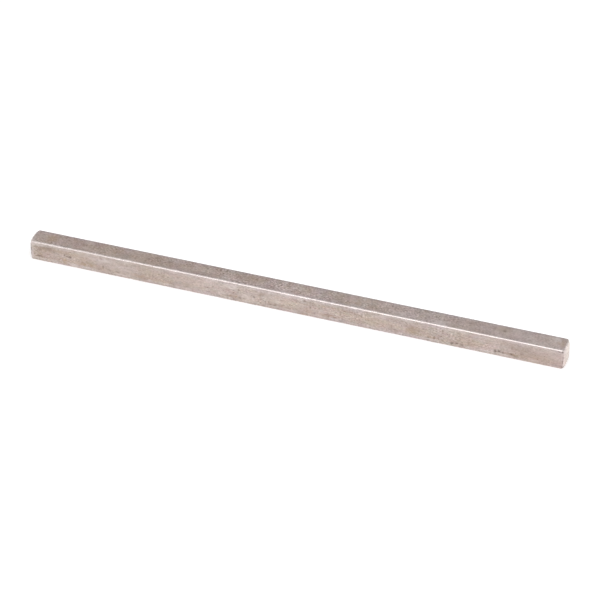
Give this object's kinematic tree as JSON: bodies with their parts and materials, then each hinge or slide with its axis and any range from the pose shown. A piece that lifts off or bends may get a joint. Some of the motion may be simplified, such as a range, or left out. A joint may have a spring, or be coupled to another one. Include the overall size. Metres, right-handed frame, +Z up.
{
  "type": "parallel key",
  "caption": "Long square parallel key of drawn steel that locks a hub to a shaft, with lightly rounded long edges and rounded square-cut ends.",
  "frame": {"origin": "centre of the bottom face, which sits on the floor of the shaft's keyseat and which the key lies on", "axes": "+X along the key's length, +Y across its width from one driving side to the other, +Z up through its height, out of the shaft towards the hub"},
  "size_m": [0.165, 0.0064, 0.0063],
  "materials": {
    "key_steel": "bare drawn steel, satin and slightly tarnished, with warm brown staining, fine scuffs, small dark pits and bright rubbed edges"
  },
  "bodies": {
    "root": {"parallel_key": "key_steel"}
  },
  "joints": []
}
